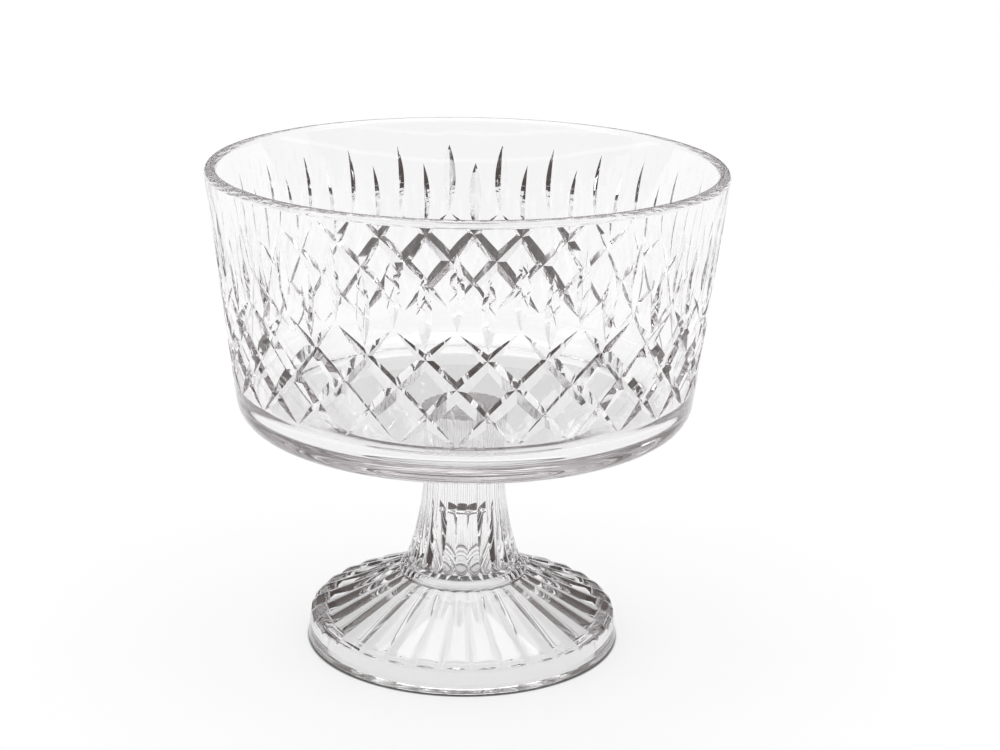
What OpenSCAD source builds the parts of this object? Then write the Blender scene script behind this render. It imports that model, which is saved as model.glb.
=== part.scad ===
// Footed trifle bowl of pressed clear glass in two pieces.
// A straight-walled bowl with a cut band of olives and diamonds stands on a reeded
// pedestal: a peg under the bowl drops into a socket in the top of the stem.
// Millimetres, +Z up, origin at the centre of the foot's underside.

/* [Overall] */
// Height from the table to the top of the lip
overall_h = 173.5; // [166:0.5:182]
// Height of the pedestal, up to the face that carries the bowl
pedestal_h = 80.3; // [77:0.1:84]

/* [Bowl] */
// Outside diameter at the lip
rim_d = 180; // [170:0.5:192]
// Thickness of the glass at the rounded lip
lip_t = 4.4; // [3.8:0.1:5.2]
// Lean of the outside of the wall from upright, in degrees
wall_lean = 6.9; // [5:0.1:9]
// Extra lean of the inside, which thickens the wall downwards, in degrees
wall_draft = 1.3; // [0.8:0.1:2]
// Radius of the outside heel
heel_r = 10.5; // [8:0.5:12]
// Radius of the hollow's inner corner
inner_heel_r = 12; // [8:0.5:16]
// Thickness of the floor
floor_t = 7.5; // [6:0.5:10]
// Diameter of the flat seat under the bowl
seat_d = 97; // [75:1:110]
// Rise of the underside from the seat to the heel, in degrees
underside_rise = 5.5; // [3:0.5:8]

/* [Peg and socket] */
// Diameter of the peg where it leaves the bowl
peg_d = 12; // [10:0.5:14]
// Length of the peg under the bowl
peg_len = 18; // [14:0.5:20]
// Draft of the peg and its socket, in degrees
peg_draft = 1; // [0.5:0.1:1.6]
// Clearance round the peg
peg_clear = 0.35; // [0.3:0.05:0.6]
// Clearance under the end of the peg
peg_end_clear = 1.2; // [0.8:0.1:2]
// Gap left where the bowl's flat seat meets the top of the stem
seat_gap = 0.05; // [0.02:0.01:0.1]

/* [Cut band] */
// Diamonds round the bowl, with two olives over each
diamond_count = 27; // [24:1:30]
// Height of one diamond, corner to corner
diamond_h = 19.8; // [18:0.2:21]
// Included angle of the V wheel that makes all the cuts, in degrees
wheel_angle = 105; // [95:1:115]
// Plain glass left where the ends of the cuts come together
cut_gap = 1; // [0.6:0.1:2]
// Plain band from the top of the lip to the top of the olives
rim_band = 10.5; // [9:0.5:14]
// Length of one olive
olive_len = 25.8; // [22:0.2:28]
// Depth of an olive at mid-length
olive_depth = 1.9; // [1.4:0.1:2.1]
// Drop of every second olive
olive_drop = 6.9; // [5:0.1:8]

/* [Stem] */
// Diameter over the reeds at the waist
waist_d = 29; // [27:0.5:32]
// Height of the waist
waist_z = 64.5; // [61:0.5:68]
// Radius of the curve that flares the stem above and below its waist
flare_r = 107; // [98:1:118]
// Reeds round the stem
reed_count = 26; // [22:1:30]
// Height of a reed above its valleys, at the toe
reed_h = 1; // [0.8:0.1:1.4]
// Height of the lowest point of the reeds' toes
toe_z = 28.7; // [28.2:0.1:30]
// Rounding of the toes
toe_r = 1.6; // [1:0.1:2]
// Lift of the toes in the valleys, which gives each reed a round end
toe_lift = 1.5; // [0.8:0.1:2]

/* [Collar] */
// Diameter of the neck under the toes
neck_d = 36.4; // [34:0.2:37]
// Diameter over the bead
collar_d = 46; // [44:0.5:48]
// Height of the bead's centre
collar_z = 25.2; // [24.4:0.1:25.8]
// Radius of the bead
bead_r = 2.2; // [1.9:0.1:2.4]

/* [Foot] */
// Diameter on the table
foot_d = 112; // [104:1:120]
// Lean of the foot's edge from upright, in degrees
edge_lean = 7; // [4:0.5:10]
// Height of the rib crests where they meet the edge
edge_h = 10; // [9:0.1:11]
// Ribs round the foot
rib_count = 32; // [28:1:36]
// Height of a rib above its valleys, at the edge
rib_h = 1.3; // [0.8:0.1:1.6]
// Rise of the ribs towards the stem, in degrees
rib_rise = 23; // [21:0.5:25]
// Width of the shoulder at the outer end of each rib
shoulder_w = 1.9; // [1.2:0.1:2.4]
// Height of that shoulder
shoulder_h = 1.9; // [1.4:0.1:2.4]
// Rounding of the edge on the table
sole_r = 1; // [0.6:0.1:1.6]

/* [Underside] */
// Width of the ring that stands on the table
stand_w = 7.5; // [6:0.5:9]
// Height of the step inside that ring
stand_h = 6.5; // [5:0.1:7]
// Inward draft of that step
stand_draft = 0.8; // [0.5:0.1:1.4]
// Rounding at the top of that step
step_round = 1.5; // [1:0.1:2.5]
// Thickness of the foot between the ribs' valleys and the hollow
foot_t = 5.6; // [4.6:0.1:6.6]
// Diameter of the hollow where it turns up into the stem
throat_d = 36; // [32:0.5:37]
// Rounding of that turn
throat_round = 6; // [3:0.5:9]
// Diameter of the hollow at its top, inside the stem
hollow_d = 13; // [11:0.5:15]
// Height of the hollow's top
hollow_z = 49.5; // [46:0.5:52]
// Rounding of the hollow's top corner
hollow_round = 2.2; // [1.5:0.1:3]

/* [Hidden] */
$fa = 3;
$fs = 0.8;

glass = [0.88, 0.90, 0.91, 0.45];
// Straight steps in one rounded corner of a section
arc_steps = 8;
// Flat strips across one reed or rib, an even number
ridge_steps = 6;
// Rings down the shaft of the stem, and round its toes
shaft_rows = 9;
toe_rows = 3;
// How far a cutter or a hidden joint runs past the face it meets
overcut = 1;

lip_r = lip_t / 2;
lip_c = [rim_d / 2 - lip_r, overall_h - lip_r];
inner_lean = wall_lean + wall_draft;
seat_r = seat_d / 2;
bowl_z = pedestal_h + seat_gap;
floor_z = bowl_z + floor_t;

upper_olive_z = overall_h - rim_band - olive_len / 2;
lower_olive_z = upper_olive_z - olive_drop;
olive_wheel_r = (olive_len / 2) ^ 2 / 2 / olive_depth;
// The diamonds' top corners touch the upper olives, and the cuts cross again a diamond lower.
band_z = upper_olive_z - olive_len / 2 - cut_gap / 2 - diamond_h;
sector = 360 / diamond_count;
half_w = wall_r(band_z) * sin(sector / 2);
half_h = diamond_h / 2 / cos(wall_lean);
mitre_lean = atan(half_h / half_w);
mitre_half_len = 2 * norm([half_w, half_h]) - cut_gap;
// A straight cut runs out of the round wall at both ends, so its length sets its depth.
wall_bend = cos(mitre_lean) ^ 2 * cos(wall_lean) / wall_r(band_z);
mitre_depth = wall_bend * mitre_half_len ^ 2 / 2;

flare_x = waist_d / 2 + flare_r;
toe_top_z = toe_z + toe_r;
neck_r = neck_d / 2;
core_r = neck_r - overcut;
bead_c = [collar_d / 2 - bead_r, collar_z];

foot_r = foot_d / 2;
edge_r = foot_r - edge_h * tan(edge_lean);
shoulder_r = edge_r - shoulder_w;
shoulder_z = edge_h + shoulder_h;
stand_r = foot_r - stand_w;
throat_r = throat_d / 2;

// Radius of the outside of the bowl's wall at height z
function wall_r(z) = lip_c.x + lip_r / cos(wall_lean) - (lip_c.y - z) * tan(wall_lean);
// Radius of the inside of the wall at height z
function inner_r(z) = lip_c.x - lip_r / cos(inner_lean) - (lip_c.y - z) * tan(inner_lean);
// Radius over the reeds of the stem at height z
function stem_r(z) = flare_x - sqrt(flare_r ^ 2 - (z - waist_z) ^ 2);
// Height of the foot's rib crests at radius r
function crest_z(r) = shoulder_z + (shoulder_r - r) * tan(rib_rise);

function polar(r, a) = r * [cos(a), sin(a)];
function way(from, to) = (to - from) / norm(to - from);
function heading(v) = atan2(v.y, v.x);
function nearest_turn(a) = a - 360 * round(a / 360);
function arc(c, r, a0, a1) =
    [for (i = [0:arc_steps]) c + polar(r, a0 + (a1 - a0) * i / arc_steps)];

// Rounds the corner p between the directions u and v with an arc of radius r
function rounded(p, u, v, r) =
    let (
        mid = (u + v) / norm(u + v),
        half = acos(u * mid),
        c = p + mid * r / sin(half),
        a0 = heading(p + u * r / tan(half) - c),
        a1 = heading(p + v * r / tan(half) - c)
    )
    arc(c, r, a0, a0 + nearest_turn(a1 - a0));

// Place of step i on its ridge: 0 on the crest and 0.5 in the valley
function ridge_place(i) =
    let (k = i % ridge_steps)
    min(k, ridge_steps - k) / ridge_steps;
function ridge_places(count) = [for (i = [0:count * ridge_steps - 1]) ridge_place(i)];

// Fall of a round ridge from its crest, one of count at radius r that stand h proud
function ridge_fall(place, count, r, h) =
    let (
        half = r * sin(180 / count),
        crown_r = (half ^ 2 + h ^ 2) / (2 * h)
    )
    crown_r - sqrt(crown_r ^ 2 - (r * sin(place * 360 / count)) ^ 2);

// Half section of the bowl
module bowl_section() {
    under = polar(1, underside_rise);
    up = polar(1, 90 - wall_lean);
    inner_up = polar(1, 90 - inner_lean);
    rise = tan(underside_rise);
    climb = rise * tan(wall_lean);
    heel_x = (wall_r(bowl_z) - seat_r * climb) / (1 - climb);
    heel = [heel_x, bowl_z + (heel_x - seat_r) * rise];
    polygon(concat(
        [[0, bowl_z], [seat_r, bowl_z]],
        rounded(heel, -under, up, heel_r),
        arc(lip_c, lip_r, -wall_lean, 180 - inner_lean),
        rounded([inner_r(floor_z), floor_z], inner_up, [-1, 0], inner_heel_r),
        [[0, floor_z]]
    ));
}

// Places a cutter on the wall: X along its outward normal, Z up its slope
module on_wall(z, turn) {
    rotate([0, 0, turn - 90])
        translate([wall_r(z), 0, z])
            rotate([0, wall_lean, 0])
                children();
}

// Section of the V wheel: its edge lies depth below x = 0
module wheel_edge(depth) {
    half = (depth + overcut) * tan(wheel_angle / 2);
    polygon([[-depth, 0], [overcut, half], [overcut, -half]]);
}

// One olive, cut by plunging the wheel into the wall
module olive_cut() {
    reach = asin((olive_len / 2 + 2 * olive_depth) / olive_wheel_r);
    rim_x = olive_wheel_r - olive_depth;
    translate([rim_x, 0, 0])
        rotate([90, 0, 0])
            rotate([0, 0, 180 - reach])
                rotate_extrude(angle = 2 * reach)
                    translate([rim_x, 0])
                        mirror([1, 0])
                            wheel_edge(olive_depth);
}

// One straight mitre cut, leaning from level by the angle given
module mitre_cut(lean) {
    rotate([lean, 0, 0])
        rotate([90, 0, 0])
            linear_extrude(2 * (mitre_half_len + 2 * mitre_depth), center = true)
                wheel_edge(mitre_depth);
}

module cut_band() {
    for (i = [0:diamond_count - 1]) {
        on_wall(upper_olive_z, i * sector)
            olive_cut();
        on_wall(lower_olive_z, (i + 0.5) * sector)
            olive_cut();
        on_wall(band_z, i * sector)
            mitre_cut(mitre_lean);
        on_wall(band_z, i * sector)
            mitre_cut(-mitre_lean);
    }
}

// Tapered peg hanging from z = 0, or its socket when grown by the clearance
module peg_shape(grow, len) {
    tip_r = peg_d / 2 - len * tan(peg_draft);
    translate([0, 0, -len])
        cylinder(h = len, r1 = tip_r + grow, r2 = peg_d / 2 + grow);
}

module bowl() {
    color(glass) {
        difference() {
            rotate_extrude()
                bowl_section();
            cut_band();
        }
        translate([0, 0, bowl_z])
            peg_shape(0, peg_len);
    }
}

// Closed skin through rings of [radius, height] pairs, listed from the top down.
// Each ring has one pair per step round the axis; the first and the last are flat.
module skin(rings) {
    steps = len(rings[0]);
    points = [
        for (ring = rings)
            for (i = [0:steps - 1])
                let (around = polar(ring[i].x, i * 360 / steps - 90))
                [around.x, around.y, ring[i].y]
    ];
    sides = [
        for (k = [0:len(rings) - 2])
            for (i = [0:steps - 1])
                let (
                    j = (i + 1) % steps,
                    up = k * steps,
                    low = up + steps
                )
                each [[up + i, up + j, low + i], [up + j, low + j, low + i]]
    ];
    top = [for (i = [steps - 1:-1:0]) i];
    bottom = [for (i = [0:steps - 1]) (len(rings) - 1) * steps + i];
    polyhedron(points, concat([top], sides, [bottom]));
}

// Waisted stem of round reeds, each with a round end above the neck
module reeded_stem() {
    places = ridge_places(reed_count);
    function reed_r(place, z) =
        let (r = stem_r(z))
        r - ridge_fall(place, reed_count, r, reed_h * r / stem_r(toe_top_z));
    function end_z(place) = toe_top_z + toe_lift * (1 - sqrt(1 - (2 * place) ^ 2));
    shaft = [
        for (k = [0:shaft_rows])
            [
                for (place = places)
                    let (z = pedestal_h + (end_z(place) - pedestal_h) * k / shaft_rows)
                    [reed_r(place, z), z]
            ]
    ];
    toes = [
        for (k = [1:toe_rows])
            [
                for (place = places)
                    let (
                        z = end_z(place),
                        a = 90 * k / toe_rows
                    )
                    [reed_r(place, z) - toe_r * (1 - cos(a)), z - toe_r * sin(a)]
            ]
    ];
    core = [for (place = places) [core_r, toe_z]];
    skin(concat(shaft, toes, [core]));
}

// Low cone of round ribs that turn down over a shoulder to the foot's plain edge
module ribbed_foot() {
    places = ridge_places(rib_count);
    function rib_z(place, r, crest) =
        crest - ridge_fall(place, rib_count, r, rib_h * r / edge_r);
    function rib_ring(r, crest) = [for (place = places) [r, rib_z(place, r, crest)]];
    function plain_ring(p) = [for (place = places) p];
    edge_ring = [
        for (place = places)
            let (z = rib_z(place, edge_r, edge_h))
            [foot_r - z * tan(edge_lean), z]
    ];
    sole = rounded([foot_r, 0], polar(1, 90 + edge_lean), [-1, 0], sole_r);
    skin(concat(
        [plain_ring([core_r, crest_z(bead_c.x) - rib_h])],
        [rib_ring(bead_c.x, crest_z(bead_c.x))],
        [rib_ring(shoulder_r, shoulder_z)],
        [edge_ring],
        [for (i = [0:arc_steps / 2:arc_steps]) plain_ring(sole[i])]
    ));
}

// Neck under the reeds, and the round bead that the ribs start from
module collar() {
    rotate_extrude() {
        translate([0, collar_z - bead_r])
            square([neck_r, toe_top_z - collar_z + bead_r]);
        translate([0, collar_z - bead_r])
            square([bead_c.x, 2 * bead_r - overcut]);
        translate(bead_c)
            circle(r = bead_r, $fn = 48);
    }
}

// Hollow moulded up into the foot and the stem
module underside_hollow() {
    ring = [stand_r, 0];
    step = [stand_r - stand_draft, stand_h];
    throat = [throat_r, crest_z(throat_r) - rib_h - foot_t];
    top = [hollow_d / 2, hollow_z];
    rotate_extrude()
        polygon(concat(
            [[0, -overcut], [stand_r, -overcut], ring],
            rounded(step, way(step, ring), way(step, throat), step_round),
            rounded(throat, way(throat, step), way(throat, top), throat_round),
            rounded(top, way(top, throat), [-1, 0], hollow_round),
            [[0, hollow_z]]
        ));
}

module pedestal() {
    color(glass)
        difference() {
            union() {
                reeded_stem();
                ribbed_foot();
                collar();
            }
            underside_hollow();
            translate([0, 0, pedestal_h])
                peg_shape(peg_clear, peg_len + peg_end_clear);
        }
}

bowl();
pedestal();
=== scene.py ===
from math import acos, asin, atan, atan2, ceil, cos, degrees, hypot, radians, sin, sqrt, tan

import bmesh
import bpy
from mathutils import Matrix, Vector


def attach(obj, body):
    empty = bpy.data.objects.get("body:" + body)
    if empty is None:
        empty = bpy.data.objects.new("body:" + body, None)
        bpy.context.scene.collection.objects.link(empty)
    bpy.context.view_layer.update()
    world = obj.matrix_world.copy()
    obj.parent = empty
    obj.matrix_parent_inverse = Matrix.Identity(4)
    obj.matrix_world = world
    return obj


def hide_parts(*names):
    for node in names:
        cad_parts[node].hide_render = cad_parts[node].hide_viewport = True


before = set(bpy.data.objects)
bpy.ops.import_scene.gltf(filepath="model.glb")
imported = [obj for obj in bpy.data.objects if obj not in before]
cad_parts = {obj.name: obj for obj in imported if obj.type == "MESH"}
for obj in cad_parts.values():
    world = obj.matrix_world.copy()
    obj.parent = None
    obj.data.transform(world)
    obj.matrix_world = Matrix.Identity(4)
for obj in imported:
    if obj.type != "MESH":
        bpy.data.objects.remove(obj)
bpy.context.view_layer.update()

MM = 0.001

# Sizes in millimetres and degrees, the same as in the part's source
OVERALL_H = 173.5
PEDESTAL_H = 80.3
RIM_D = 180
LIP_T = 4.4
WALL_LEAN = 6.9
WALL_DRAFT = 1.3
HEEL_R = 10.5
INNER_HEEL_R = 12
FLOOR_T = 7.5
SEAT_D = 97
SEAT_ROUND = 6
UNDERSIDE_RISE = 5.5
PEG_D = 12
PEG_LEN = 18
PEG_DRAFT = 1
PEG_ROOT_ROUND = 0.25
PEG_TIP_ROUND = 0.8
PEG_CLEAR = 0.35
PEG_END_CLEAR = 1.2
SOCKET_ROUND = 1
SOCKET_RIM_ROUND = 0.25
SEAT_GAP = 0.05
DIAMOND_COUNT = 27
DIAMOND_H = 19.8
WHEEL_ANGLE = 105
CUT_GAP = 1
RIM_BAND = 10.5
OLIVE_LEN = 25.8
OLIVE_DEPTH = 1.9
OLIVE_DROP = 6.9
WAIST_D = 29
WAIST_Z = 64.5
FLARE_R = 107
REED_COUNT = 26
REED_H = 1
TOE_Z = 28.7
TOE_R = 1.6
TOE_LIFT = 1.5
NECK_D = 36.4
COLLAR_D = 46
COLLAR_Z = 25.2
BEAD_R = 2.2
GROOVE_ROUND = 0.3
GROOVE_W = 0.5
FOOT_D = 112
EDGE_LEAN = 7
EDGE_H = 10
RIB_COUNT = 32
RIB_H = 1.3
RIB_RISE = 23
SHOULDER_W = 1.9
SHOULDER_H = 1.9
SOLE_R = 1
STAND_W = 7.5
STAND_H = 6.5
STAND_DRAFT = 0.8
STAND_ROUND = 0.5
STEP_ROUND = 1.5
FOOT_T = 5.6
THROAT_D = 36
THROAT_ROUND = 6
HOLLOW_D = 13
HOLLOW_Z = 49.5
HOLLOW_ROUND = 2.2

# Mesh fineness
WALL_COLUMNS = 6
WALL_ROWS = 16
LIP_STEPS = 24
BOWL_ROUND_STEPS = 16
OLIVE_STEPS = 30
RIDGE_STEPS = 16
STEM_ROWS = 40
TOE_ROWS = 8
BEAD_ROWS = 12
RIB_ROWS = 16
SHOULDER_ROWS = 5
EDGE_ROWS = 4
LONG_STEP = 7
SHARP_EDGE = radians(24)
SAME_NORMAL = 0.99
WELD = 0.002
OVERCUT = 1
CUT_REACH = 3.2

LIP_R = LIP_T / 2
LIP_C = (RIM_D / 2 - LIP_R, OVERALL_H - LIP_R)
INNER_LEAN = WALL_LEAN + WALL_DRAFT
BOWL_Z = PEDESTAL_H + SEAT_GAP
FLOOR_Z = BOWL_Z + FLOOR_T
SECTOR = 360 / DIAMOND_COUNT
FLARE_X = WAIST_D / 2 + FLARE_R
TOE_TOP_Z = TOE_Z + TOE_R
BEAD_C = (COLLAR_D / 2 - BEAD_R, COLLAR_Z)


def sind(a):
    return sin(radians(a))


def cosd(a):
    return cos(radians(a))


def tand(a):
    return tan(radians(a))


FOOT_R = FOOT_D / 2
EDGE_R = FOOT_R - EDGE_H * tand(EDGE_LEAN)
SHOULDER_R = EDGE_R - SHOULDER_W
SHOULDER_Z = EDGE_H + SHOULDER_H


def wall_r(z):
    return LIP_C[0] + LIP_R / cosd(WALL_LEAN) - (LIP_C[1] - z) * tand(WALL_LEAN)


def inner_r(z):
    return LIP_C[0] - LIP_R / cosd(INNER_LEAN) - (LIP_C[1] - z) * tand(INNER_LEAN)


def stem_r(z):
    return FLARE_X - sqrt(FLARE_R ** 2 - (z - WAIST_Z) ** 2)


def crest_z(r):
    return SHOULDER_Z + (SHOULDER_R - r) * tand(RIB_RISE)


def turned(r, z, turn):
    """Point at a turn in degrees round the axis, from the side that faces the photo's viewer"""
    return Vector((r * sind(turn), -r * cosd(turn), z))


def polar(r, a):
    return Vector((r * cosd(a), r * sind(a)))


def ridge_fall(place, count, r, h):
    """Fall of one of count round ridges at radius r, h proud: place 0 is a crest, 0.5 a valley"""
    half = r * sind(180 / count)
    crown_r = (half ** 2 + h ** 2) / (2 * h)
    return crown_r - sqrt(crown_r ** 2 - (r * sind(place * 360 / count)) ** 2)


def ridge_places(count):
    one = [min(i, RIDGE_STEPS - i) / RIDGE_STEPS for i in range(RIDGE_STEPS)]
    return one * count


# Sections are lists of (radius, height, normal radius, normal height) with the air on the left.

def section(corners, steps=10):
    """Line through (radius, height, rounding) corners, rounded where the rounding isn't 0"""
    line = []
    last = len(corners) - 1
    for i, (x, z, r) in enumerate(corners):
        p = Vector((x, z))
        back = (Vector(corners[i - 1][:2]) - p).normalized() if i > 0 else None
        ahead = (Vector(corners[i + 1][:2]) - p).normalized() if i < last else None
        if back is None or ahead is None or r == 0:
            way = ahead if back is None else -back
            line.append((x, z, -way.y, way.x))
            continue
        mid = (back + ahead).normalized()
        half = acos(max(-1, min(1, back.dot(mid))))
        c = p + mid * r / sin(half)
        start = p + back * r / tan(half) - c
        end = p + ahead * r / tan(half) - c
        a0 = degrees(atan2(start.y, start.x))
        sweep = (degrees(atan2(end.y, end.x)) - a0 + 180) % 360 - 180
        side = 1 if sweep < 0 else -1
        count = max(2, ceil(steps * abs(sweep) / 90))
        for k in range(count + 1):
            n = polar(1, a0 + sweep * k / count)
            line.append((c.x + r * n.x, c.y + r * n.y, side * n.x, side * n.y))
    return line


def stepped(line):
    """The same section with its long straights divided"""
    out = [line[0]]
    for a, b in zip(line, line[1:]):
        count = max(1, ceil(hypot(b[0] - a[0], b[1] - a[1]) / LONG_STEP))
        for k in range(1, count + 1):
            out.append(tuple(p + (q - p) * k / count for p, q in zip(a, b)))
    return out


class Skin:
    """One closed glass surface, built from rings of points round the axis"""

    def __init__(self):
        self.bm = bmesh.new()
        self.normal = self.bm.verts.layers.float_vector.new("turned_normal")

    def ring(self, pairs):
        count = len(pairs)
        return [self.bm.verts.new(turned(r, z, 360 * i / count)) for i, (r, z) in enumerate(pairs)]

    def turned_ring(self, point, count):
        r, z, nr, nz = point
        ring = self.ring([(r, z)] * count)
        for i, vert in enumerate(ring):
            vert[self.normal] = turned(nr, nz, 360 * i / count)
        return ring

    def join(self, rings):
        for a, b in zip(rings, rings[1:]):
            for i in range(len(a)):
                self.bm.faces.new((a[i - 1], a[i], b[i], b[i - 1]))

    def strip(self, a, b):
        """Joins two rings of different counts"""
        i = j = 0
        while i < len(a) or j < len(b):
            if (i + 1) * len(b) <= (j + 1) * len(a) and i < len(a) or j == len(b):
                self.bm.faces.new((a[i % len(a)], a[(i + 1) % len(a)], b[j % len(b)]))
                i += 1
            else:
                self.bm.faces.new((a[i % len(a)], b[(j + 1) % len(b)], b[j % len(b)]))
                j += 1

    def close(self, ring, point):
        tip = self.bm.verts.new((0, 0, point[1]))
        tip[self.normal] = (0, 0, point[3])
        for i in range(len(ring)):
            self.bm.faces.new((ring[i - 1], ring[i], tip))

    def turn(self, line, count):
        """Turns a section, and closes it where it starts or ends on the axis"""
        rings = [self.turned_ring(p, count) for p in line if p[0] > 0]
        self.join(rings)
        if line[0][0] == 0:
            self.close(rings[0], line[0])
        if line[-1][0] == 0:
            self.close(rings[-1], line[-1])
        return rings

    def piece(self, name):
        """The finished object, shaded by the exact normals of its turned and conical faces"""
        bm = self.bm
        bmesh.ops.remove_doubles(bm, verts=bm.verts, dist=WELD)
        bmesh.ops.dissolve_degenerate(bm, edges=bm.edges, dist=WELD)
        bmesh.ops.recalc_face_normals(bm, faces=bm.faces)
        for edge in bm.edges:
            edge.smooth = edge.calc_face_angle(0) < SHARP_EDGE
        normals = []
        for face in bm.faces:
            face.smooth = True
            for vert in face.verts:
                normals.append(shading_normal(face, vert, vert[self.normal]))
        bmesh.ops.scale(bm, vec=(MM, MM, MM), verts=bm.verts)
        mesh = bpy.data.meshes.new(name)
        bm.to_mesh(mesh)
        bm.free()
        mesh.attributes.remove(mesh.attributes["turned_normal"])
        mesh.normals_split_custom_set(normals)
        obj = bpy.data.objects.new(name, mesh)
        bpy.context.scene.collection.objects.link(obj)
        return obj


def cone_normal(p):
    out = Vector((p.x, p.y, 0)).normalized()
    return out * cosd(WALL_LEAN) - Vector((0, 0, sind(WALL_LEAN)))


def shading_normal(face, vert, turned_normal):
    """Exact normal of a turned face or the plain wall; elsewhere 0, for the mesh's own"""
    n = Vector(turned_normal)
    if n.length == 0 and abs(hypot(vert.co.x, vert.co.y) - wall_r(vert.co.z)) < WELD:
        n = cone_normal(vert.co)
    if face.normal.dot(n) < SAME_NORMAL:
        return (0, 0, 0)
    return tuple(n)


# Bowl

UPPER_OLIVE_Z = OVERALL_H - RIM_BAND - OLIVE_LEN / 2
LOWER_OLIVE_Z = UPPER_OLIVE_Z - OLIVE_DROP
OLIVE_WHEEL_R = (OLIVE_LEN / 2) ** 2 / 2 / OLIVE_DEPTH
BAND_Z = UPPER_OLIVE_Z - OLIVE_LEN / 2 - CUT_GAP / 2 - DIAMOND_H
HALF_W = wall_r(BAND_Z) * sind(SECTOR / 2)
HALF_H = DIAMOND_H / 2 / cosd(WALL_LEAN)
MITRE_LEAN = degrees(atan(HALF_H / HALF_W))
MITRE_HALF_LEN = 2 * hypot(HALF_W, HALF_H) - CUT_GAP
WALL_BEND = cosd(MITRE_LEAN) ** 2 * cosd(WALL_LEAN) / wall_r(BAND_Z)
MITRE_DEPTH = WALL_BEND * MITRE_HALF_LEN ** 2 / 2


def on_wall(z, turn):
    """Place of a cutter on the wall: X along its outward normal, Z up its slope"""
    return (
        Matrix.Rotation(radians(turn - 90), 4, "Z")
        @ Matrix.Translation((wall_r(z), 0, z))
        @ Matrix.Rotation(radians(WALL_LEAN), 4, "Y")
    )


def wheel_edge(depth):
    half = (depth + OVERCUT) * tand(WHEEL_ANGLE / 2)
    return [(-depth, 0), (OVERCUT, half), (OVERCUT, -half)]


def loft(name, sections):
    """Closed object through sections of points with the same count"""
    bm = bmesh.new()
    rows = [[bm.verts.new(p) for p in points] for points in sections]
    for a, b in zip(rows, rows[1:]):
        for i in range(len(a)):
            bm.faces.new((a[i - 1], a[i], b[i], b[i - 1]))
    bm.faces.new(rows[0])
    bm.faces.new(rows[-1])
    bmesh.ops.recalc_face_normals(bm, faces=bm.faces)
    mesh = bpy.data.meshes.new(name)
    bm.to_mesh(mesh)
    bm.free()
    obj = bpy.data.objects.new(name, mesh)
    bpy.context.scene.collection.objects.link(obj)
    return obj


def olive_cutter(z, turn):
    place = on_wall(z, turn)
    rim_x = OLIVE_WHEEL_R - OLIVE_DEPTH
    reach = degrees(asin((OLIVE_LEN / 2 + 2 * OLIVE_DEPTH) / OLIVE_WHEEL_R))
    rows = []
    for i in range(OLIVE_STEPS + 1):
        a = reach * (2 * i / OLIVE_STEPS - 1)
        rows.append([
            place @ Vector((rim_x - (rim_x - x) * cosd(a), y, (rim_x - x) * sind(a)))
            for x, y in wheel_edge(OLIVE_DEPTH)
        ])
    return loft("olive_cutter", rows)


def mitre_cutter(turn, lean):
    place = on_wall(BAND_Z, turn) @ Matrix.Rotation(radians(lean), 4, "X")
    reach = MITRE_HALF_LEN + 2 * MITRE_DEPTH
    edge = wheel_edge(MITRE_DEPTH)
    rows = [[place @ Vector((x, end, y)) for x, y in edge] for end in (-reach, reach)]
    return loft("mitre_cutter", rows)


def wall_slice(low, high):
    """Plain wall over a little more than half a sector, ready to be cut"""
    step = SECTOR / 2 / WALL_COLUMNS
    heights = [low + (high - low) * k / WALL_ROWS for k in range(WALL_ROWS + 1)]
    line = [(wall_r(z), z) for z in heights]
    line += [(wall_r(z) - CUT_REACH, z) for z in (high, low)]
    turns = [i * step for i in range(-2, WALL_COLUMNS + 3)]
    return loft("wall_slice", [[turned(r, z, turn) for r, z in line] for turn in turns])


def cut_wall(bm, low, high):
    """Adds the wall with all its cuts: half a sector is cut, then mirrored and repeated"""
    block = wall_slice(low, high)
    cutters = [olive_cutter(UPPER_OLIVE_Z, 0), olive_cutter(LOWER_OLIVE_Z, SECTOR / 2)]
    cutters += [mitre_cutter(k * SECTOR, s * MITRE_LEAN) for k in (-1, 0, 1) for s in (-1, 1)]
    for cutter in cutters:
        cut = block.modifiers.new("cut", "BOOLEAN")
        cut.operation = "DIFFERENCE"
        cut.solver = "EXACT"
        cut.object = cutter
    shaped = block.evaluated_get(bpy.context.evaluated_depsgraph_get())
    mesh = bpy.data.meshes.new_from_object(shaped)
    bm.from_mesh(mesh)
    for obj in [block] + cutters:
        bpy.data.meshes.remove(obj.data)
    bpy.data.meshes.remove(mesh)

    bmesh.ops.triangulate(bm, faces=bm.faces)
    sides = [Vector((-1, 0, 0)), Vector((cosd(SECTOR / 2), sind(SECTOR / 2), 0))]
    for side in sides:
        bmesh.ops.bisect_plane(
            bm, geom=bm.verts[:] + bm.edges[:] + bm.faces[:], dist=WELD / 10,
            plane_co=(0, 0, 0), plane_no=side, clear_outer=True,
        )
    spare = [
        f for f in bm.faces
        if all(abs(v.co.z - low) < WELD for v in f.verts)
        or all(abs(v.co.z - high) < WELD for v in f.verts)
        or all(hypot(v.co.x, v.co.y) < wall_r(v.co.z) - CUT_REACH + 0.2 for v in f.verts)
    ]
    bmesh.ops.delete(bm, geom=spare, context="FACES")
    bmesh.ops.mirror(bm, geom=bm.verts[:] + bm.edges[:] + bm.faces[:], merge_dist=WELD, axis="X")
    bmesh.ops.spin(
        bm, geom=bm.verts[:] + bm.edges[:] + bm.faces[:], cent=(0, 0, 0), axis=(0, 0, 1),
        angle=radians(SECTOR) * (DIAMOND_COUNT - 1), steps=DIAMOND_COUNT - 1, use_duplicate=True,
    )


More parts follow.
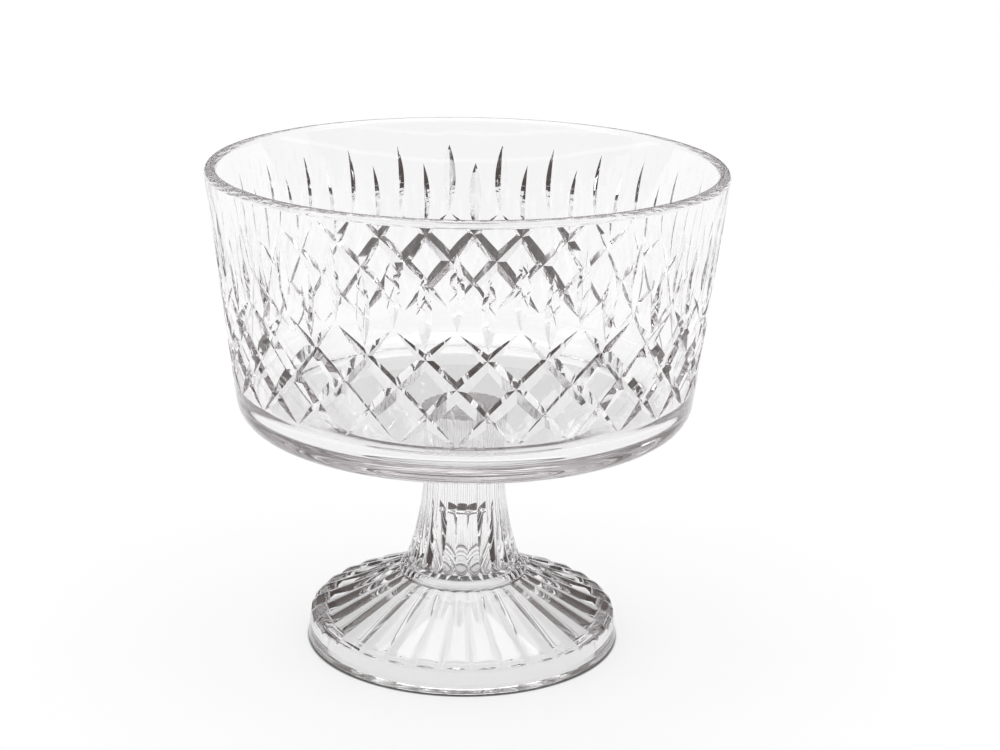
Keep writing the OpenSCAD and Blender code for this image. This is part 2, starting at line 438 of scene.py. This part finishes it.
def make_bowl():
    count = 2 * DIAMOND_COUNT * WALL_COLUMNS
    rise = tand(UNDERSIDE_RISE)
    climb = rise * tand(WALL_LEAN)
    heel_x = (wall_r(BOWL_Z) - SEAT_D / 2 * climb) / (1 - climb)
    heel_z = BOWL_Z + (heel_x - SEAT_D / 2) * rise
    tip_r = PEG_D / 2 - PEG_LEN * tand(PEG_DRAFT)
    lip_z = LIP_C[1] - LIP_R * sind(WALL_LEAN)
    lip = []
    for k in range(LIP_STEPS + 1):
        a = 180 - INNER_LEAN - (180 - INNER_LEAN + WALL_LEAN) * k / LIP_STEPS
        lip.append((LIP_C[0] + LIP_R * cosd(a), LIP_C[1] + LIP_R * sind(a), cosd(a), sind(a)))
    inside = section([
        (0, FLOOR_Z, 0),
        (inner_r(FLOOR_Z), FLOOR_Z, INNER_HEEL_R),
        (lip[0][0], lip[0][1], 0),
    ], steps=BOWL_ROUND_STEPS)
    outside = section([
        (wall_r(lip_z), lip_z, 0),
        (heel_x, heel_z, HEEL_R),
        (SEAT_D / 2, BOWL_Z, SEAT_ROUND),
        (PEG_D / 2, BOWL_Z, PEG_ROOT_ROUND),
        (tip_r, BOWL_Z - PEG_LEN, PEG_TIP_ROUND),
        (0, BOWL_Z - PEG_LEN, 0),
    ], steps=BOWL_ROUND_STEPS)
    skin = Skin()
    cut_wall(skin.bm, outside[1][1], lip_z)
    skin.turn(stepped(inside + lip[1:]), count)
    skin.turn(stepped(outside[1:]), count)
    return skin.piece("cut_bowl")


# Pedestal

def reed_r(place, z):
    r = stem_r(z)
    return r - ridge_fall(place, REED_COUNT, r, REED_H * r / stem_r(TOE_TOP_Z))


def reed_end_z(place):
    return TOE_TOP_Z + TOE_LIFT * (1 - sqrt(1 - (2 * place) ** 2))


def rib_z(place, r, crest):
    return crest - ridge_fall(place, RIB_COUNT, r, RIB_H * r / EDGE_R)


def bead_end(place):
    """Angle on the bead's section where a rib meets it"""
    high, low = 90.0, -90.0
    for _ in range(40):
        a = (high + low) / 2
        p = Vector(BEAD_C) + polar(BEAD_R, a)
        if p.y > rib_z(place, p.x, crest_z(p.x)):
            high = a
        else:
            low = a
    return high


def make_pedestal():
    reeds = ridge_places(REED_COUNT)
    ribs = ridge_places(RIB_COUNT)
    neck_r = NECK_D / 2
    socket_len = PEG_LEN + PEG_END_CLEAR
    socket_r = PEG_D / 2 + PEG_CLEAR
    socket_tip_r = socket_r - socket_len * tand(PEG_DRAFT)
    skin = Skin()

    socket = section([
        (0, PEDESTAL_H - socket_len, 0),
        (socket_tip_r, PEDESTAL_H - socket_len, SOCKET_ROUND),
        (socket_r, PEDESTAL_H, SOCKET_RIM_ROUND),
        (stem_r(PEDESTAL_H) - 2 * REED_H, PEDESTAL_H, 0),
    ])
    top = skin.turn(stepped(socket), len(reeds))
    rings = [top[-1]]
    for k in range(STEM_ROWS + 1):
        heights = [PEDESTAL_H + (reed_end_z(place) - PEDESTAL_H) * k / STEM_ROWS for place in reeds]
        rings.append(skin.ring([(reed_r(place, z), z) for place, z in zip(reeds, heights)]))
    for k in range(1, TOE_ROWS + 1):
        a = 90 * k / TOE_ROWS
        inward, down = TOE_R * (1 - cosd(a)), TOE_R * sind(a)
        ends = [(reed_r(place, reed_end_z(place)), reed_end_z(place)) for place in reeds]
        rings.append(skin.ring([(r - inward, z - down) for r, z in ends]))
    collar_top_z = COLLAR_Z + BEAD_R - OVERCUT
    neck = section([(neck_r, TOE_Z, 0), (neck_r, collar_top_z + 1, 0)])
    neck_rings = skin.turn(neck, len(reeds))
    skin.join(rings + [neck_rings[0]])

    groove = section([
        (neck_r, collar_top_z + 0.9, 0),
        (neck_r, collar_top_z, GROOVE_ROUND),
        (neck_r + GROOVE_W, collar_top_z, 0),
    ])
    groove_rings = skin.turn(groove, len(ribs))
    skin.strip(neck_rings[-1], groove_rings[0])
    bead_start = 180 - degrees(asin((BEAD_R - OVERCUT) / BEAD_R))
    ends = [bead_end(place) for place in ribs]
    rings = [groove_rings[-1]]
    for k in range(BEAD_ROWS + 1):
        angles = [bead_start + (end - bead_start) * k / BEAD_ROWS for end in ends]
        rings.append(skin.ring([tuple(Vector(BEAD_C) + polar(BEAD_R, a)) for a in angles]))
    starts = [BEAD_C[0] + BEAD_R * cosd(end) for end in ends]
    for k in range(1, RIB_ROWS + 1):
        radii = [r + (SHOULDER_R - r) * k / RIB_ROWS for r in starts]
        rings.append(skin.ring([(r, rib_z(place, r, crest_z(r))) for place, r in zip(ribs, radii)]))
    for k in range(1, SHOULDER_ROWS + 1):
        r = SHOULDER_R + SHOULDER_W * k / SHOULDER_ROWS
        crest = SHOULDER_Z - SHOULDER_H * k / SHOULDER_ROWS
        heights = [rib_z(place, r, crest) for place in ribs]
        rings.append(skin.ring([(min(r, FOOT_R - z * tand(EDGE_LEAN)), z) for z in heights]))
    level = EDGE_H - 2 * RIB_H
    rib_ends = [rib_z(place, EDGE_R, EDGE_H) for place in ribs]
    for k in range(1, EDGE_ROWS + 1):
        heights = [z + (level - z) * k / EDGE_ROWS for z in rib_ends]
        rings.append(skin.ring([(FOOT_R - z * tand(EDGE_LEAN), z) for z in heights]))

    stand_r = FOOT_R - STAND_W
    sole = section([
        (FOOT_R - level * tand(EDGE_LEAN), level, 0),
        (FOOT_R, 0, SOLE_R),
        (stand_r, 0, STAND_ROUND),
        (stand_r - STAND_DRAFT, STAND_H, STEP_ROUND),
        (THROAT_D / 2, crest_z(THROAT_D / 2) - RIB_H - FOOT_T, THROAT_ROUND),
        (HOLLOW_D / 2, HOLLOW_Z, HOLLOW_ROUND),
        (0, HOLLOW_Z, 0),
    ])
    sole_rings = skin.turn(stepped(sole), len(ribs))
    skin.join([rings[-1], sole_rings[0]])
    skin.join(rings)
    return skin.piece("reeded_pedestal")


bowl = make_bowl()
pedestal = make_pedestal()


# Glass

GLASS_COLOUR = (0.997, 0.998, 1, 1)
GLASS_IOR = 1.52
BODY_COLOUR = (0.82, 0.80, 0.81, 1)
BODY_DENSITY = 11
WAVE_SCALE = 70
BOWL_WAVE = 0.00004
PEDESTAL_WAVE = 0.00003
POLISH_SCALE = 160
POLISH_NOISE = (0.35, 0.7)
DULLEST = 0.03
LIGHT_BOUNCES = 64


def glass(name, wave_height):
    """Clear pressed glass: faint grey body, slightly wavy skin, and small changes in polish"""
    mat = bpy.data.materials.new(name)
    mat.use_nodes = True
    nodes, links = mat.node_tree.nodes, mat.node_tree.links
    bsdf = nodes["Principled BSDF"]
    bsdf.inputs["Base Color"].default_value = GLASS_COLOUR
    bsdf.inputs["Transmission Weight"].default_value = 1
    bsdf.inputs["IOR"].default_value = GLASS_IOR

    place = nodes.new("ShaderNodeTexCoord")
    waves = nodes.new("ShaderNodeTexNoise")
    waves.inputs["Scale"].default_value = WAVE_SCALE
    waves.inputs["Detail"].default_value = 1
    links.new(place.outputs["Object"], waves.inputs["Vector"])
    bump = nodes.new("ShaderNodeBump")
    bump.inputs["Strength"].default_value = 1
    bump.inputs["Distance"].default_value = wave_height
    links.new(waves.outputs["Fac"], bump.inputs["Height"])
    links.new(bump.outputs["Normal"], bsdf.inputs["Normal"])

    patches = nodes.new("ShaderNodeTexNoise")
    patches.inputs["Scale"].default_value = POLISH_SCALE
    patches.inputs["Detail"].default_value = 4
    links.new(place.outputs["Object"], patches.inputs["Vector"])
    polish = nodes.new("ShaderNodeMapRange")
    polish.inputs["From Min"].default_value = POLISH_NOISE[0]
    polish.inputs["From Max"].default_value = POLISH_NOISE[1]
    polish.inputs["To Max"].default_value = DULLEST
    links.new(patches.outputs["Fac"], polish.inputs["Value"])
    links.new(polish.outputs["Result"], bsdf.inputs["Roughness"])

    body = nodes.new("ShaderNodeVolumeAbsorption")
    body.inputs["Color"].default_value = BODY_COLOUR
    body.inputs["Density"].default_value = BODY_DENSITY
    links.new(body.outputs["Volume"], nodes["Material Output"].inputs["Volume"])
    return mat


def dress(obj, body, slot, wave_height):
    obj.data.materials.append(glass(slot, wave_height))
    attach(obj, body)
    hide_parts(body)


dress(bowl, "bowl", "bowl_glass", BOWL_WAVE)
dress(pedestal, "pedestal", "pedestal_glass", PEDESTAL_WAVE)


# Stage, in metres

WHITE = (1, 1, 1, 1)
FLOOR_R = 12
FLOOR_GAP = 0.0002
PAPER_COLOUR = (0.8, 0.8, 0.8, 1)
FLOOR_GLOW = 0.7
SHADOW_FADE = (0.2, 0.6)
# Painted shadow: a ring under the foot's standing ring where the floor's glow falls to nothing
PAINTED_SHADOW_R = (FOOT_R - STAND_W / 2) * MM
PAINTED_SHADOW_FADE = (3.5 * MM, 4.3 * MM)
WALL_R = 4.0
WALL_H = 6.0
WALL_SIDES = 48
WALL_SHADES = (
    (0.0, (0.07, 0.058, 0.055, 1)),
    (0.6, (0.13, 0.11, 0.104, 1)),
    (1.0, (0.7, 0.68, 0.68, 1)),
)
LAMP_TARGET = (0, 0, 0.1)


def stage_object(name, bm, mat):
    mesh = bpy.data.meshes.new(name)
    bm.to_mesh(mesh)
    bm.free()
    mesh.materials.append(mat)
    obj = bpy.data.objects.new(name, mesh)
    bpy.context.scene.collection.objects.link(obj)
    return obj


def stage_material(name):
    mat = bpy.data.materials.new(name)
    mat.use_nodes = True
    mat.node_tree.nodes.remove(mat.node_tree.nodes["Principled BSDF"])
    light = mat.node_tree.nodes.new("ShaderNodeEmission")
    light.inputs["Color"].default_value = WHITE
    light.inputs["Strength"].default_value = 1
    return mat, light


def math_node(mat, operation, first, second=None):
    """Output of a Math node on sockets or numbers"""
    node = mat.node_tree.nodes.new("ShaderNodeMath")
    node.operation = operation
    for value, socket in zip((first, second), node.inputs):
        if isinstance(value, bpy.types.NodeSocket):
            mat.node_tree.links.new(value, socket)
        elif value is not None:
            socket.default_value = value
    return node.outputs[0]


def fade(mat, value, span, low):
    """Rises from low to 1 while the value passes over the span"""
    node = mat.node_tree.nodes.new("ShaderNodeMapRange")
    node.inputs["From Min"].default_value = span[0]
    node.inputs["From Max"].default_value = span[1]
    node.inputs["To Min"].default_value = low
    mat.node_tree.links.new(value, node.inputs["Value"])
    return node.outputs["Result"]


def white_paper():
    """Matt paper, mostly plain white where it is seen, also through glass, with a painted shadow: a
    dark ring in its glow under the foot's standing ring
    """
    mat, light = stage_material("floor_white")
    nodes, links = mat.node_tree.nodes, mat.node_tree.links
    paper = nodes.new("ShaderNodeBsdfDiffuse")
    paper.inputs["Color"].default_value = PAPER_COLOUR
    path = nodes.new("ShaderNodeLightPath").outputs
    seen = math_node(mat, "MAXIMUM", path["Is Camera Ray"], path["Is Glossy Ray"])
    seen = math_node(mat, "MAXIMUM", seen, path["Is Transmission Ray"])
    place = nodes.new("ShaderNodeTexCoord")
    radius = nodes.new("ShaderNodeVectorMath")
    radius.operation = "LENGTH"
    links.new(place.outputs["Object"], radius.inputs[0])
    whiten = fade(mat, radius.outputs["Value"], SHADOW_FADE, FLOOR_GLOW)
    # Painted shadow: the glow fades out in a ring under the foot's standing ring
    off_shadow_ring = math_node(mat, "SUBTRACT", radius.outputs["Value"], PAINTED_SHADOW_R)
    painted_shadow = fade(mat, math_node(mat, "ABSOLUTE", off_shadow_ring), PAINTED_SHADOW_FADE, 0)
    links.new(painted_shadow, light.inputs["Strength"])
    mix = nodes.new("ShaderNodeMixShader")
    links.new(math_node(mat, "MULTIPLY", seen, whiten), mix.inputs[0])
    links.new(paper.outputs[0], mix.inputs[1])
    links.new(light.outputs[0], mix.inputs[2])
    links.new(mix.outputs[0], nodes["Material Output"].inputs["Surface"])
    return mat


def make_floor():
    bm = bmesh.new()
    bmesh.ops.create_circle(bm, cap_ends=True, segments=96, radius=FLOOR_R)
    floor = stage_object("floor", bm, white_paper())
    floor.location.z = -FLOOR_GAP


def wall_paint():
    """Warm grey that fades towards white at the top of the wall"""
    mat, light = stage_material("wall_grey")
    nodes, links = mat.node_tree.nodes, mat.node_tree.links
    place = nodes.new("ShaderNodeTexCoord")
    split = nodes.new("ShaderNodeSeparateXYZ")
    ramp = nodes.new("ShaderNodeValToRGB")
    stops = ramp.color_ramp.elements
    stops.new(WALL_SHADES[1][0])
    for stop, (height, colour) in zip(stops, WALL_SHADES):
        stop.position = height
        stop.color = colour
    links.new(place.outputs["Generated"], split.inputs[0])
    links.new(split.outputs["Z"], ramp.inputs["Fac"])
    links.new(ramp.outputs["Color"], light.inputs["Color"])
    links.new(light.outputs[0], nodes["Material Output"].inputs["Surface"])
    return mat


def make_wall():
    """Grey wall far round the object, seen only by way of the glass, in which it draws the lines"""
    bm = bmesh.new()
    turns = [360 * k / WALL_SIDES for k in range(WALL_SIDES)]
    low, high = [[bm.verts.new(turned(WALL_R, z, turn)) for turn in turns] for z in (0, WALL_H)]
    for k in range(WALL_SIDES):
        bm.faces.new((low[k - 1], low[k], high[k], high[k - 1]))
    wall = stage_object("wall", bm, wall_paint())
    wall.visible_camera = False
    wall.visible_diffuse = False
    wall.visible_shadow = False


def make_world():
    world = bpy.data.worlds.new("studio")
    world.use_nodes = True
    background = world.node_tree.nodes["Background"]
    background.inputs["Color"].default_value = WHITE
    background.inputs["Strength"].default_value = 1
    bpy.context.scene.world = world


def softbox(name, place, size, power):
    data = bpy.data.lights.new(name, "AREA")
    data.shape = "RECTANGLE"
    data.size, data.size_y = size
    data.energy = power
    lamp = bpy.data.objects.new(name, data)
    lamp.location = place
    aim = Vector(LAMP_TARGET) - Vector(place)
    lamp.rotation_euler = aim.to_track_quat("-Z", "Y").to_euler()
    bpy.context.scene.collection.objects.link(lamp)


make_floor()
make_wall()
make_world()
softbox("top_softbox", (0, 0.2, 1.6), (1.2, 1.2), 8)
softbox("left_softbox", (-1.3, -0.5, 0.8), (0.5, 1.1), 3)
softbox("right_softbox", (1.3, -0.4, 0.9), (0.5, 1.1), 2)


# Camera, from the photo's frame of 1000 by 750 pixels

PHOTO_W = 1000
SENSOR_W = 36
FOCAL_PX = 2190.08
CAMERA_TURN = 1.92
CAMERA_DISTANCE = 739.2
CAMERA_HEIGHT = 322.35
PITCH, YAW, ROLL = 0.295, 0.0165, -0.0176


def make_camera():
    data = bpy.data.cameras.new("camera")
    data.sensor_width = SENSOR_W
    data.lens = SENSOR_W * FOCAL_PX / PHOTO_W
    camera = bpy.data.objects.new("camera", data)
    level = Vector((sin(YAW), cos(YAW), 0))
    across = Vector((cos(YAW), -sin(YAW), 0))
    ahead = cos(PITCH) * level - Vector((0, 0, sin(PITCH)))
    above = sin(PITCH) * level + Vector((0, 0, cos(PITCH)))
    right = cos(ROLL) * across - sin(ROLL) * above
    up = sin(ROLL) * across + cos(ROLL) * above
    aim = Matrix((right, up, -ahead)).transposed().to_4x4()
    aim.translation = Vector((0, -CAMERA_DISTANCE, CAMERA_HEIGHT)) * MM
    camera.matrix_world = Matrix.Rotation(radians(CAMERA_TURN), 4, "Z") @ aim
    bpy.context.scene.collection.objects.link(camera)
    bpy.context.scene.camera = camera


make_camera()
scene = bpy.context.scene
scene.view_settings.view_transform = "Standard"
scene.cycles.max_bounces = LIGHT_BOUNCES
scene.cycles.transmission_bounces = LIGHT_BOUNCES
scene.cycles.glossy_bounces = LIGHT_BOUNCES
